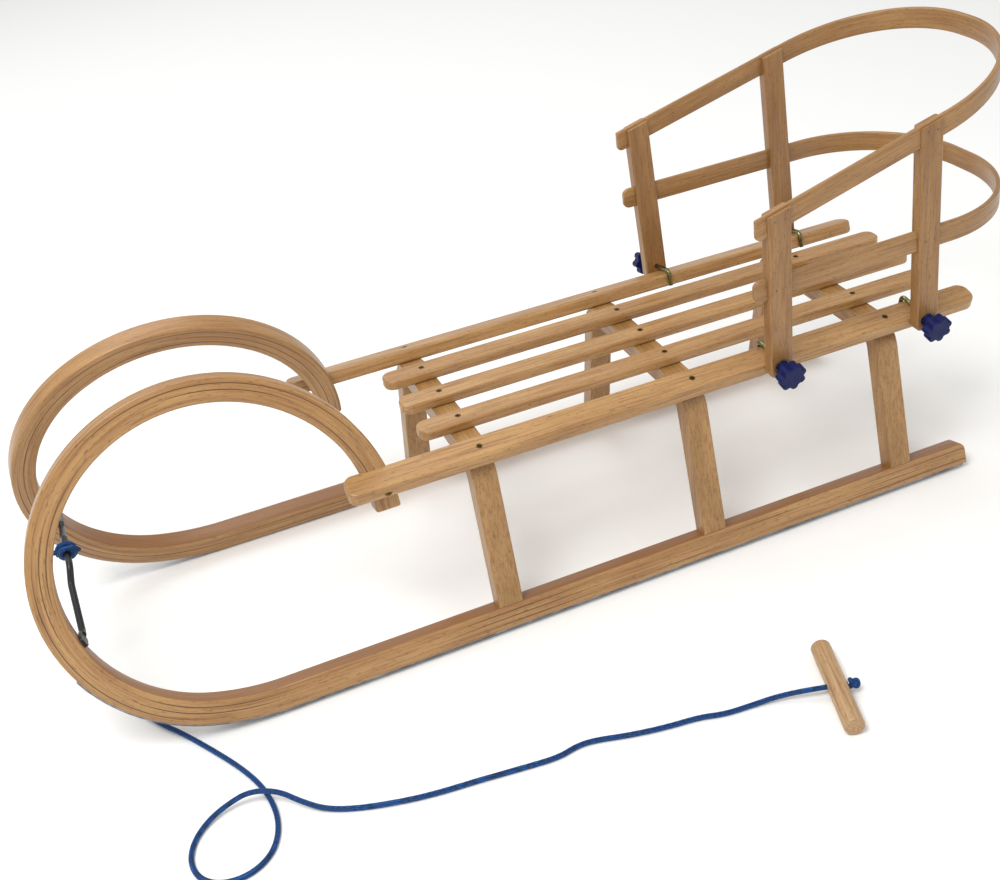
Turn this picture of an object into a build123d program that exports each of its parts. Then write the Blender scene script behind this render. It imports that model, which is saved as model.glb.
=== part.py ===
from build123d import *
import os
from math import asin, cos, degrees, hypot, pi, radians, sin, tan

os.makedirs("parts", exist_ok=True)

# Wooden horn sledge with a clamp-on child's backrest. Millimetres.
# +X is forwards, towards the horns, +Y is the sledge's own left and +Z is up.
# The origin is on the ground under the middle of the whole object.
# Stations are measured forwards from the middle of the rear arch.

# ---- runners and horns ----
CANT = 15.0                 # lean of each runner and its horn towards the middle
RUNNER_W = 27.0             # across the sole
RUNNER_H = 30.0             # laminated thickness
RUNNER_CHAMFER = 2.2        # broken long edges
SOLE_Y = 193.5              # outer corner of the sole, from the middle plane
TAIL_STATION = -104.0
TAIL_ROUND = 9.0            # rounded upper corner of the tail
BEND_STATION = 862.0        # where the runner starts to rise
HORN_BENDS = ((325.0, 16.5), (212.0, 60.0), (200.5, 70.5), (212.5, 57.0), (220.5, 65.5))
SHOE_W = 20.0               # steel strip under the sole
SHOE_T = 2.0
SHOE_TURN = 62.0            # how far round the horn the strip runs, in degrees
SHOE_TAIL_GAP = 5.0

# ---- arches: bent legs and crossbar in one ----
ARCH_STATIONS = {"rear_arch": 0.0, "middle_arch": 288.0, "front_arch": 576.0}
ARCH_W = 32.0               # fore and aft
ARCH_T = 25.0
ARCH_TOP = 236.0            # top of the crossbar
ARCH_BEND_R = 44.0          # outside of the shoulder bend
LEG_SPLAY = 12.0
LEG_INSET = 1.0             # leg's outer face inside the runner's outer face
ARCH_ROUND = 2.0
TENON = (18.0, 11.0, 18.0)  # fore and aft, across, into the runner

# ---- seat ----
RAIL_W = 35.0
RAIL_T = 18.7
RAIL_TILT = 15.5            # the side rails lie on the arches' shoulders
RAIL_Y = 138.7              # middle of the rail's section
RAIL_Z = ARCH_TOP + 1.4
RAIL_FRONT = 742.5
RAIL_FRONT_ROUND = 11.0     # corners in plan
RAIL_ROUND = 4.0
SEAT_REAR = -136.0          # rear end of rails and slats
SEAT_HOUSING = 0.5          # the rail's seat in the shoulder is this much wider
SLAT_W = 31.0
SLAT_T = 14.0
SLAT_PITCH = 69.0
SLAT_FRONT = 629.5
SLAT_END_ROUND = 13.0
SLAT_ROUND = 3.0

# ---- screws: shank diameter, head diameter, length ----
SEAT_SCREW = (4.0, 8.0, 32.0)
SLAT_SCREW = (4.0, 8.0, 30.0)
HORN_SCREW = (5.0, 9.5, 46.0)
SHOE_SCREW = (3.5, 7.0, 18.0)
LEG_SCREW = (5.0, 9.5, 58.0)
BRACE_SCREW = (4.0, 8.0, 20.0)
HORN_SCREW_STATION = 704.0
SHOE_SCREW_COUNT = 5

# ---- front brace ----
BRACE_D = 8.0
BRACE_STATION = 1064.0
BRACE_BEND_R = 11.0
BRACE_MID = (31.0, 187.0)   # half length and height of the raised middle
BRACE_LOW = (44.0, 169.0)   # foot of the crank
BRACE_LEAN = 4.0            # the raised middle stands this much further back
BRACE_TAB = (24.0, 14.0, 3.5)
BRACE_TAB_Y = SOLE_Y - 61.5 # middle of the flattened end
BRACE_TAB_GAP = 0.2

# ---- backrest ----
POST_W = 32.0
POST_T = 18.0
POST_BOTTOM = RAIL_Z - 6.4
POST_ROUND = 4.0
POST_FOOT_ROUND = 7.0       # lower corners
POST_TOP_GAP = 2.5          # the upper hoop stands this much above the posts
POST_RAKE = 2.2             # the posts lean forwards
POST_GAP = 0.4              # from the rail's outer edge
POSTS = {"front": (178.5, 3.5), "rear": (-41.0, 2.0)}  # station at the bolt, outward lean
HOOP_T = 6.0
HOOP_H = 28.8               # measured upright
HOOP_FRONT = 217.0
HOOP_END_ROUND = 9.0
# half width at the front, half width and station at the back, corner radius, top at the front, rise
UPPER_HOOP = (181.5, 177.0, -223.5, 170.0, 457.5, 0.267)
LOWER_HOOP = (174.5, 171.5, -231.5, 158.0, 373.5, 0.014)
NAIL = (2.4, 14.0)          # diameter and length
NAIL_SPACING = 14.0

# ---- hook bolts and star knobs ----
BOLT_D = 6.0
BOLT_PITCH = 1.0            # M6 thread
BOLT_TILT = 12.0            # of its axis, outer end down
BOLT_OVER_RAIL = 5.3        # axis above the rail's inner upper corner
BOLT_BEND_R = 7.0
BOLT_GAP = 0.3              # hook's leg to the rail's inner face
BOLT_LEG_END = -8.0         # below the middle of the rail's thickness
BOLT_HOLE = 7.0
BOLT_THREAD_PLAY = 0.05     # radial, in the knob
SPOT_FACE = (22.0, 2.0)     # seat for the washer: diameter, depth at its middle
WASHER = (18.0, 6.6, 1.5)
KNOB_GAP = 0.3
KNOB_R = 19.0
KNOB_LOBES = 7
KNOB_LOBE_R = 5.2
KNOB_T = 14.0
KNOB_HUB = (8.5, 12.0)      # radius and length
KNOB_BORE = 20.0

# ---- pull rope ----
ROPE_D = 6.0
HANDLE_D = 24.0
HANDLE_L = 130.0
HANDLE_HOLE = 6.6
HANDLE_AT = (-137.6, 468.6)
HANDLE_HEADING = 72.7       # of the handle's axis, seen from above
BRACE_KNOT = (12.0, 18.0)   # radius and width round the rod
HANDLE_KNOT_R = 8.0
HANDLE_KNOT_GAP = 0.3
ROPE_ROUTE = [
    (634.2, -2.0, 187.5), (647.5, -2.0, 188.5), (659.3, -1.0, 182.5), (664.8, 0.6, 171.5),
    (665.0, 2.0, 157.0), (662.5, 2.0, 126.0), (663.5, 4.5, 84.0), (660.5, 4.0, 50.0),
    (660.0, 7.0, 27.0), (656.5, 14.0, 12.5), (649.5, 24.0, 3.6), (636.0, 41.0, 3.0),
    (617.0, 66.0, 3.0), (596.0, 98.0, 3.0), (575.5, 135.5, 3.0), (557.5, 160.0, 3.0),
    (539.0, 189.5, 3.0), (521.5, 219.0, 3.0), (504.5, 250.0, 3.0), (491.0, 281.5, 3.0),
    (483.5, 313.5, 3.0), (483.5, 347.0, 3.0), (493.5, 376.0, 3.0), (511.5, 394.0, 3.0),
    (535.5, 401.5, 3.0), (560.5, 396.5, 3.0), (577.5, 379.0, 3.0), (581.5, 353.0, 3.0),
    (572.0, 328.5, 3.0), (552.5, 309.5, 4.5), (528.0, 301.5, 9.0), (503.0, 302.5, 16.0),
    (475.0, 317.0, 16.0), (455.5, 336.0, 8.5), (432.5, 355.0, 3.0), (398.0, 371.5, 3.0),
    (350.0, 385.0, 3.0), (314.0, 391.5, 3.0), (270.0, 396.0, 3.0), (222.0, 402.5, 3.0),
    (181.0, 407.5, 3.0), (157.0, 402.0, 3.0), (136.0, 403.5, 3.0), (98.0, 415.5, 3.0),
    (56.0, 424.5, 3.0), (17.0, 429.0, 3.0), (-11.0, 438.5, 3.0), (-43.0, 441.0, 3.0),
    (-76.0, 446.5, 6.5), (-112.5, 460.8, 12.0),
]

# ---- values worked out from those above ----
CANT_R = radians(CANT)
TILT_R = radians(RAIL_TILT)
BOLT_R = radians(BOLT_TILT)
BASE_Z = (RUNNER_W + SHOE_W) / 2 * sin(CANT_R)   # puts the shoe's inner edge on the ground
TOP_V = SHOE_T + RUNNER_H                        # runner's upper face, in its own leaning plane
SIDES = {"left": 1, "right": -1}


def bend_centres():
    """Each bend of the sole as (centre x, centre height, radius, heading before, turn)."""
    x, v, heading, out = BEND_STATION, SHOE_T, 0.0, []
    for radius, turn in HORN_BENDS:
        cx = x - radius * sin(radians(heading))
        cv = v + radius * cos(radians(heading))
        out.append((cx, cv, radius, heading, turn))
        heading += turn
        x = cx + radius * sin(radians(heading))
        v = cv - radius * cos(radians(heading))
    return out


BENDS = bend_centres()
HORN_NOSE = max(cx + r for cx, cv, r, start, turn in BENDS if start <= 90 <= start + turn)
HOOP_BACK = min(UPPER_HOOP[2], LOWER_HOOP[2]) - HOOP_T / 2
MID = (HORN_NOSE + HOOP_BACK) / 2


def X(station):
    """Station along the sledge to x in the part's frame."""
    return station - MID


def runner_plane(side_step=0.0):
    """Leaning plane of the left runner's outer face: x forwards, y up the horn, z inwards."""
    origin = (0, SOLE_Y - side_step * cos(CANT_R), BASE_Z - side_step * sin(CANT_R))
    return Plane(origin=origin, x_dir=(1, 0, 0), z_dir=(0, -cos(CANT_R), -sin(CANT_R)))


def runner_point(x, v, inwards):
    """Point in the part's frame from runner-plane coordinates, on the left side."""
    return runner_plane(inwards).from_local_coords(Vector(x, v, 0))


def rail_point(x, u, v):
    """Point from rail coordinates: u outwards across the left rail, v out of its top face."""
    y = RAIL_Y + u * cos(TILT_R) + v * sin(TILT_R)
    z = RAIL_Z - u * sin(TILT_R) + v * cos(TILT_R)
    return Vector(x, y, z)


def other_side(shape, side):
    """The left-hand shape, or its mirror image for the right."""
    return shape if side > 0 else mirror(shape, about=Plane.XZ)


def both_sides(shapes):
    """Shapes of the left side and their mirror images."""
    return list(shapes) + [mirror(s, about=Plane.XZ) for s in shapes]


def arcs(inset, last_turn=360.0, reverse=False):
    """The bends as arcs, moved in from the sole by inset, up to a total turn."""
    out = []
    for cx, cv, radius, start, turn in BENDS:
        turn = min(turn, last_turn - start)
        if turn > 0:
            out.append(CenterArc((X(cx), cv), radius - inset, start - 90, turn))
    return list(reversed(out)) if reverse else out


def band(inset, thickness, tail, last_turn=360.0):
    """Flat outline of a band that follows the sole from its tail round the horn."""
    outer, inner = arcs(inset, last_turn), arcs(inset + thickness, last_turn, reverse=True)
    low, high = SHOE_T + inset, SHOE_T + inset + thickness
    start_low, start_high = (X(BEND_STATION), low), (X(BEND_STATION), high)
    edges = [Line((X(tail), low), start_low)] + outer
    edges += [Line(outer[-1] @ 1, inner[0] @ 1)] + inner
    edges += [Line(start_high, (X(tail), high)), Line((X(tail), high), (X(tail), low))]
    return make_face(edges)


def side_edges(solid, axis_dir):
    """Edges of the two flat side faces that look along axis_dir."""
    sides = [f for f in solid.faces() if abs(f.normal_at().dot(axis_dir)) > 0.999]
    return ShapeList([e for f in sides for e in f.edges()])


def screw_shape(size, play=0.0):
    """Countersunk screw, head flush at the origin and shank along -Z."""
    shank_d, head_d, length = size
    cone = (head_d - shank_d) / 2
    shank = Cylinder(shank_d / 2 + play, length, align=(Align.CENTER, Align.CENTER, Align.MAX))
    head = Cone(shank_d / 2 + play, head_d / 2 + play, cone, align=(Align.CENTER, Align.CENTER, Align.MAX))
    return shank + head


def screw(size):
    """Countersunk screw with a cross recess."""
    slot_l, slot_w, slot_d = size[1] * 0.6, size[1] * 0.14, size[1] * 0.2
    bar = Box(slot_l, slot_w, slot_d, align=(Align.CENTER, Align.CENTER, Align.MAX))
    return screw_shape(size) - bar - Rot(0, 0, 90) * bar


def aimed(shape, point, out_of_face):
    """Places a screw with its head at point, pointing against out_of_face."""
    return Plane(origin=point, z_dir=out_of_face).location * shape


# ---- screw places, each as (point, direction out of the face, size) ----
def runner_dirs():
    """Outward side direction and up-the-horn direction of the left runner."""
    return Vector(0, cos(CANT_R), sin(CANT_R)), Vector(0, -sin(CANT_R), cos(CANT_R))


def seat_screw_places():
    """Rail screws on both sides and slat screws, at every arch."""
    rail_up = Vector(0, sin(TILT_R), cos(TILT_R))
    places = []
    for station in ARCH_STATIONS.values():
        places.append((rail_point(X(station), 0, RAIL_T / 2), rail_up, SEAT_SCREW))
        right = rail_point(X(station), 0, RAIL_T / 2)
        places.append((Vector(right.X, -right.Y, right.Z), Vector(0, -rail_up.Y, rail_up.Z), SEAT_SCREW))
        for k in (-1, 0, 1):
            top = Vector(X(station), k * SLAT_PITCH, ARCH_TOP + SLAT_T)
            places.append((top, Vector(0, 0, 1), SLAT_SCREW))
    return places


def horn_screw_places():
    """One screw a side, level through the rail into the horn's tip."""
    outer = RAIL_Y + (RAIL_W / 2) * cos(TILT_R)
    height = RAIL_Z - (RAIL_W / 2) * sin(TILT_R)
    return [(Vector(X(HORN_SCREW_STATION - 7), s * outer, height), Vector(0, s, 0), HORN_SCREW)
            for s in SIDES.values()]


def shoe_screw_places():
    """Screws up through the shoe on both sides, between the legs and at the ends."""
    out, up = runner_dirs()
    first, last = TAIL_STATION + 25, BEND_STATION - 20
    step = (last - first) / (SHOE_SCREW_COUNT - 1)
    places = []
    for k in range(SHOE_SCREW_COUNT):
        p = runner_point(X(first + k * step), 0, RUNNER_W / 2)
        for s in SIDES.values():
            places.append((Vector(p.X, s * p.Y, p.Z), Vector(0, -s * up.Y, -up.Z), SHOE_SCREW))
    return places


def leg_screw_places():
    """Screws up through each runner into the legs, covered by the shoe."""
    out, up = runner_dirs()
    places = []
    for station in ARCH_STATIONS.values():
        p = runner_point(X(station), SHOE_T, RUNNER_W / 2)
        for s in SIDES.values():
            places.append((Vector(p.X, s * p.Y, p.Z), Vector(0, -s * up.Y, -up.Z), LEG_SCREW))
    return places


def brace_contact():
    """Point and inward normal on the left horn's inner curve where the brace is screwed."""
    cx, cv, radius, start, turn = BENDS[1]
    inner = radius - RUNNER_H
    along = asin((BRACE_STATION - cx + BRACE_TAB[2] / 2) / inner)
    v = cv - inner * cos(along)
    inwards = (SOLE_Y - v * sin(CANT_R) - BRACE_TAB_Y) / cos(CANT_R)
    point = runner_point(X(cx + inner * sin(along)), v, inwards)
    out, up = runner_dirs()
    normal = Vector(-sin(along), up.Y * cos(along), up.Z * cos(along))
    return point, normal


def brace_screw_places():
    """One screw a side through the brace's flattened end."""
    point, normal = brace_contact()
    head = point + normal * (BRACE_TAB_GAP + BRACE_TAB[2])
    return [(Vector(head.X, s * head.Y, head.Z), Vector(normal.X, s * normal.Y, normal.Z), BRACE_SCREW)
            for s in SIDES.values()]


def screws_at(places):
    """All screws of a node."""
    return [aimed(screw(size), point, out) for point, out, size in places]


def drilled(solid, places):
    """Cuts the screws' own shape from a piece."""
    for point, out, size in places:
        solid -= aimed(screw_shape(size), point, out)
    return solid


# ---- sledge ----
def side_rail():
    """Left side rail, rounded at the front corners and fully round at the rear."""
    length = RAIL_FRONT - SEAT_REAR
    plan = Rectangle(length, RAIL_W)
    front = plan.vertices().sort_by(Axis.X)[-2:]
    plan = fillet(front, RAIL_FRONT_ROUND)
    rear = plan.vertices().sort_by(Axis.X)[:2]
    plan = fillet(rear, RAIL_W * 0.42)
    rail = extrude(plan, RAIL_T / 2, both=True)
    ends = rail.faces().sort_by(Axis.Z)
    rail = fillet(ShapeList(ends[0].edges() + ends[-1].edges()), RAIL_ROUND)
    place = Plane(origin=rail_point(X((RAIL_FRONT + SEAT_REAR) / 2), 0, 0), x_dir=(1, 0, 0),
                  z_dir=(0, sin(TILT_R), cos(TILT_R)))
    return place.location * rail


def rail_housing():
    """Square-cornered length of the rail's section, cut from the horn's tip where they cross."""
    place = Plane(origin=rail_point(X(HORN_SCREW_STATION), 0, 0), x_dir=(1, 0, 0),
                  z_dir=(0, sin(TILT_R), cos(TILT_R)))
    return place.location * Box(150, RAIL_W, RAIL_T)


def slat(index):
    """Slat with rounded ends; index -1, 0 or 1 counts from the right."""
    length = SLAT_FRONT - SEAT_REAR
    plan = RectangleRounded(length, SLAT_W, SLAT_END_ROUND)
    solid = extrude(plan, SLAT_T)
    faces = solid.faces().sort_by(Axis.Z)
    solid = fillet(ShapeList(faces[0].edges() + faces[-1].edges()), SLAT_ROUND)
    return Pos(X((SLAT_FRONT + SEAT_REAR) / 2), index * SLAT_PITCH, ARCH_TOP) * solid


def leg_line(z):
    """Outer face of the left leg at height z."""
    top_corner = runner_point(0, TOP_V, LEG_INSET)
    return top_corner.Y - (z - top_corner.Z) * tan(radians(LEG_SPLAY))


def arch_face(inset, foot_z):
    """Outline of the bent arch, moved in from its outer face by inset."""
    sideways = inset / cos(radians(LEG_SPLAY))
    top = ARCH_TOP - inset
    corner, foot = leg_line(top) - sideways, leg_line(foot_z) - sideways
    face = make_face(Polyline((-foot, foot_z), (-corner, top), (corner, top), (foot, foot_z), close=True))
    return fillet(face.vertices().sort_by(Axis.Y)[-2:], ARCH_BEND_R - inset)


def under_runner(side):
    """Everything below the runner's upper face on one side."""
    block = Box(2000, 400, 120, align=(Align.CENTER, Align.CENTER, Align.MAX))
    up = Vector(0, -sin(CANT_R), cos(CANT_R))
    point = runner_point(0, TOP_V, RUNNER_W / 2)
    return other_side(Plane(origin=point, x_dir=(1, 0, 0), z_dir=up).location * block, side)


def tenon(station, side):
    """Tongue at the foot of a leg, let into the runner."""
    across = LEG_INSET + ARCH_T / 2
    place = Plane(origin=runner_point(X(station), TOP_V, across), x_dir=(1, 0, 0),
                  z_dir=(0, -sin(CANT_R), cos(CANT_R)))
    block = Box(TENON[0], TENON[1], TENON[2] + 5, align=(Align.CENTER, Align.CENTER, Align.MAX))
    return other_side(place.location * Pos(0, 0, 5) * block, side)


def arch(station):
    """Legs and crossbar bent from one laminated board, with seats for the side rails."""
    outline = arch_face(0, 0) - arch_face(ARCH_T, -20)
    solid = extrude(Plane.YZ.offset(X(station)) * outline, ARCH_W / 2, both=True)
    solid = fillet(side_edges(solid, Vector(1, 0, 0)), ARCH_ROUND)
    seat = Box(2000, RAIL_W + 2 * SEAT_HOUSING, 60, align=(Align.CENTER, Align.CENTER, Align.MIN))
    widen = Pos(0, 40, 0) * seat
    place = Plane(origin=rail_point(0, 0, -RAIL_T / 2), x_dir=(1, 0, 0), z_dir=(0, sin(TILT_R), cos(TILT_R)))
    for side in SIDES.values():
        solid -= other_side(place.location * (seat + widen), side)
        solid -= under_runner(side)
        solid += tenon(station, side)
    return drilled(solid, seat_screw_places() + leg_screw_places())


def runner_blank(side):
    """Bent runner and horn before drilling, with broken long edges and housed for the rail."""
    face = band(0, RUNNER_H, TAIL_STATION)
    tail_top = face.vertices().sort_by(Axis.X)
    tail_top = [v for v in tail_top if abs(v.X - X(TAIL_STATION)) < 0.1 and v.Y > TOP_V - 1]
    face = fillet(tail_top, TAIL_ROUND)
    normal = Vector(0, -cos(CANT_R), -side * sin(CANT_R))
    plane = Plane(origin=(0, side * SOLE_Y, BASE_Z), x_dir=(1, 0, 0), z_dir=normal)
    solid = extrude(plane * face, RUNNER_W, dir=normal * side)
    solid = chamfer(side_edges(solid, normal), RUNNER_CHAMFER)
    return solid - other_side(rail_housing(), side)


def runner(side):
    """Runner and horn, with mortises for the legs and holes for the screws."""
    solid = runner_blank(side)
    for station in ARCH_STATIONS.values():
        solid -= tenon(station, side)
    places = horn_screw_places() + shoe_screw_places() + leg_screw_places() + brace_screw_places()
    return drilled(solid, [p for p in places if p[0].Y * side > 0])


def shoe(side):
    """Steel strip screwed under the sole and round the front of the horn."""
    face = band(-SHOE_T, SHOE_T, TAIL_STATION + SHOE_TAIL_GAP, SHOE_TURN)
    plane = runner_plane((RUNNER_W - SHOE_W) / 2)
    solid = extrude(plane * face, SHOE_W, dir=plane.z_dir)
    return other_side(drilled(solid, [p for p in shoe_screw_places() if p[0].Y > 0]), side)


# ---- front brace and rope ----
def tube_along(points, radii, diameter):
    """Round bar along straight runs joined by tangent arcs."""
    path = FilletPolyline(*points, radius=radii)
    start = Plane(origin=path @ 0, z_dir=path % 0)
    return sweep(start * Circle(diameter / 2), path=path)


def front_brace():
    """Cranked round bar between the horns with its ends flattened and screwed down."""
    point, normal = brace_contact()
    out, up = runner_dirs()
    x = X(BRACE_STATION)
    tab_in = point + normal * (BRACE_TAB_GAP + BRACE_TAB[2] / 2) - out * (BRACE_TAB[0] / 2)
    low = Vector(x, BRACE_LOW[0], BRACE_LOW[1])
    middle = Vector(x - BRACE_LEAN, BRACE_MID[0], BRACE_MID[1])
    near_tab = tab_in - out * 10
    half = [tab_in, near_tab, low, middle]
    points = half + [Vector(p.X, -p.Y, p.Z) for p in reversed(half)]
    radii = [6.0] + [BRACE_BEND_R] * (len(points) - 4) + [6.0]
    bar = tube_along(points, radii, BRACE_D)
    tab = Box(BRACE_TAB[0], BRACE_TAB[1], BRACE_TAB[2])
    tab = fillet(tab.edges().filter_by(Axis.Z), 5.0)
    place = Plane(origin=point + normal * (BRACE_TAB_GAP + BRACE_TAB[2] / 2), x_dir=out, z_dir=normal)
    left_tab = place.location * tab
    solid = bar + left_tab + mirror(left_tab, about=Plane.XZ)
    return drilled(solid, brace_screw_places())


def rope_points():
    """The whole route, ending on the stopper knot behind the handle."""
    end = handle_plane().from_local_coords(Vector(-HANDLE_D / 2 - HANDLE_KNOT_GAP, 0, 0))
    return [Vector(*p) for p in ROPE_ROUTE] + [end]


def rope_radii(points):
    """As large an arc at each corner as its two runs allow."""
    radii = []
    for before, here, after in zip(points, points[1:], points[2:]):
        run_in, run_out = here - before, after - here
        turn = run_in.get_angle(run_out)
        radii.append(0.45 * min(run_in.length, run_out.length) / tan(radians(turn / 2)))
    return radii


def pull_rope():
    """Rope from the brace's knot to the handle's knot."""
    points = rope_points()
    radii = rope_radii(points)
    print("rope radii", [round(r, 1) for r in radii])
    path = FilletPolyline(*points, radius=radii)
    rope = tube_along(points, radii, ROPE_D)
    section = pi * (ROPE_D / 2) ** 2
    print("rope length", round(path.length, 1), "volume ratio", round(rope.volume / (section * path.length), 4))
    return rope - brace_knot()


def brace_knot():
    """Hitch round the middle of the brace, as one plain ring."""
    radius, width = BRACE_KNOT
    ring = Cylinder(radius, width) - Cylinder(BRACE_D / 2, width)
    ring = fillet(ring.edges().filter_by(GeomType.CIRCLE).sort_by(SortBy.RADIUS)[-2:], 4.0)
    return Pos(X(BRACE_STATION) - BRACE_LEAN, 0, BRACE_MID[1]) * Rot(90, 0, 0) * ring


def handle_plane():
    """Frame of the rope's handle: z along its axis, x along its hole towards the sledge."""
    heading = radians(HANDLE_HEADING)
    return Plane(origin=(*HANDLE_AT, HANDLE_D / 2), x_dir=(sin(heading), -cos(heading), 0),
                 z_dir=(cos(heading), sin(heading), 0))


def rope_handle():
    """Turned dowel with a cross hole for the rope."""
    dowel = Cylinder(HANDLE_D / 2, HANDLE_L)
    dowel = fillet(dowel.edges().filter_by(GeomType.CIRCLE), 3.0)
    dowel -= Rot(0, 90, 0) * Cylinder(HANDLE_HOLE / 2, HANDLE_D * 2)
    return handle_plane().location * dowel


def handle_knot():
    """Stopper knot on the far side of the handle."""
    ball = Sphere(HANDLE_KNOT_R)
    ball -= Pos(HANDLE_KNOT_R * 0.8, 0, 0) * Box(HANDLE_KNOT_R, 40, 40, align=(Align.MIN, Align.CENTER, Align.CENTER))
    offset = HANDLE_D / 2 + HANDLE_KNOT_GAP + HANDLE_KNOT_R * 0.8
    return handle_plane().location * Pos(-offset, 0, 0) * ball


# ---- backrest ----
def hoop_plan(spec, shift, extend=0.0):
    """Plan of the U, moved outwards by shift, as a filled outline open to the front."""
    y_front, y_back, x_back, radius, top, rise = spec
    back = x_back - shift
    slope = (y_front - y_back) / (HOOP_FRONT - x_back)
    side = shift * hypot(1, slope)
    front = HOOP_FRONT + extend
    wide = y_front + slope * extend + side
    narrow = y_front - slope * (HOOP_FRONT - back) + side
    face = make_face(Polyline((X(front), -wide), (X(back), -narrow), (X(back), narrow), (X(front), wide), close=True))
    return fillet(face.vertices().sort_by(Axis.X)[:2], radius + shift)


def hoop_slope(spec):
    """Angle at which the hoop's top edge rises towards the back."""
    return degrees(asin(spec[5] / hypot(1, spec[5])))


def hoop_slab(spec):
    """Sloping slab whose top face is the hoop's top edge."""
    thick = HOOP_H * cos(radians(hoop_slope(spec)))
    block = Box(1400, 900, thick, align=(Align.CENTER, Align.CENTER, Align.MAX))
    return Pos(X(HOOP_FRONT), 0, spec[4]) * Rot(0, hoop_slope(spec), 0) * block


def hoop(spec):
    """Steam-bent strip, upright in section, along a U that may rise towards the back."""
    flat = hoop_plan(spec, HOOP_T / 2) - hoop_plan(spec, -HOOP_T / 2, extend=5)
    strip = (extrude(flat, 800) & hoop_slab(spec)).solid()
    front = [e for e in strip.edges() if abs(e.center().X - X(HOOP_FRONT)) < 1 and e.length < HOOP_T * 1.5]
    return fillet(front, HOOP_END_ROUND)


def post_plane(which):
    """Frame of a left post: origin where the bolt crosses its middle, z up the post."""
    station, lean = POSTS[which]
    up = Vector(tan(radians(POST_RAKE)), tan(radians(lean)), 1).normalized()
    inner = rail_point(0, RAIL_W / 2, RAIL_T / 2).Y + POST_GAP
    y = inner + POST_T / 2 / cos(radians(lean))
    origin = Vector(X(station), y, bolt_height(y))
    forward = Vector(1, 0, 0) - up * up.X
    return Plane(origin=origin, x_dir=forward.normalized(), z_dir=up)


def bolt_height(y):
    """Height of a left bolt's axis where it is y from the middle plane."""
    corner = rail_point(0, -RAIL_W / 2, RAIL_T / 2)
    return corner.Z + BOLT_OVER_RAIL - (y - corner.Y) * tan(BOLT_R)


def bolt_plane(which):
    """Frame of a left hook bolt: z outwards along its axis, origin at the post's middle."""
    return Plane(origin=post_plane(which).origin, x_dir=(1, 0, 0), z_dir=(0, cos(BOLT_R), -sin(BOLT_R)))


def washer_seat():
    """Distance along the bolt from the post's middle to the floor of its spot face."""
    return POST_T / 2 - SPOT_FACE[1]


def nail_places():
    """Point, direction and size of each nail where a hoop crosses a left post."""
    places = []
    for which in POSTS:
        plane = post_plane(which)
        out = plane.y_dir if plane.y_dir.Y > 0 else plane.y_dir * -1
        for spec in (UPPER_HOOP, LOWER_HOOP):
            height = spec[4] + spec[5] * (X(HOOP_FRONT) - plane.origin.X) - HOOP_H / 2
            along = (height - plane.origin.Z) / plane.z_dir.Z
            for k in (-0.5, 0.5):
                centre = plane.origin + plane.z_dir * along + plane.x_dir * (k * NAIL_SPACING)
                places.append((centre + out * (POST_T / 2 + 0.4), out))
    return places


def nails():
    """Round-headed nails of the left side."""
    shapes = []
    for point, out in nail_places():
        nail = Cylinder(NAIL[0] / 2, NAIL[1], align=(Align.CENTER, Align.CENTER, Align.MAX))
        shapes.append(Plane(origin=point, z_dir=out).location * nail)
    return shapes


def post(which, hoops):
    """Left post: slots for the hoops, bolt hole and spot face."""
    plane = post_plane(which)
    down = (plane.origin.Z - POST_BOTTOM) / plane.z_dir.Z
    block = Box(POST_W, POST_T, 400, align=(Align.CENTER, Align.CENTER, Align.MIN))
    foot = block.edges().filter_by(Axis.Y).sort_by(Axis.Z)[:2]
    block = fillet(foot, POST_FOOT_ROUND)
    block = fillet(block.edges().filter_by(Axis.Z), POST_ROUND - 1)
    solid = plane.location * Pos(0, 0, -down) * block
    solid -= hoop_above()
    for strip in hoops:
        solid -= strip
    bolt = bolt_plane(which).location
    solid -= bolt * Cylinder(BOLT_HOLE / 2, POST_T * 3)
    spot = Cylinder(SPOT_FACE[0] / 2, 20, align=(Align.CENTER, Align.CENTER, Align.MIN))
    solid -= bolt * Pos(0, 0, washer_seat()) * spot
    for nail in nails():
        solid -= nail
    return solid


def hoop_above():
    """Everything above the posts' upper ends, which lie just under the upper hoop's top edge."""
    block = Box(1400, 900, 500, align=(Align.CENTER, Align.CENTER, Align.MIN))
    return Pos(X(HOOP_FRONT), 0, UPPER_HOOP[4] - POST_TOP_GAP) * Rot(0, hoop_slope(UPPER_HOOP), 0) * block


def knob_base():
    """Distance along the bolt from the post's middle to the knob's hub."""
    return washer_seat() + WASHER[2] + KNOB_GAP


def hook_bolt(which):
    """Left hook bolt: threaded end in the knob, over the rail and down its inner face."""
    x = post_plane(which).origin.X
    start = bolt_plane(which).origin + bolt_plane(which).z_dir * (knob_base() + KNOB_BORE - 1)
    inner_u = -RAIL_W / 2 - BOLT_GAP - BOLT_D / 2
    end = rail_point(x, inner_u, BOLT_LEG_END)
    rise = (bolt_height(end.Y) - end.Z) / (cos(TILT_R) + sin(TILT_R) * tan(BOLT_R))
    corner = rail_point(x, inner_u, BOLT_LEG_END + rise)
    return tube_along([start, corner, end], [BOLT_BEND_R], BOLT_D)


def washer(which):
    """Plain washer on the spot face."""
    ring = Cylinder(WASHER[0] / 2, WASHER[2], align=(Align.CENTER, Align.CENTER, Align.MIN))
    ring -= Cylinder(WASHER[1] / 2, WASHER[2] * 3)
    return bolt_plane(which).location * Pos(0, 0, washer_seat()) * ring


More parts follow.
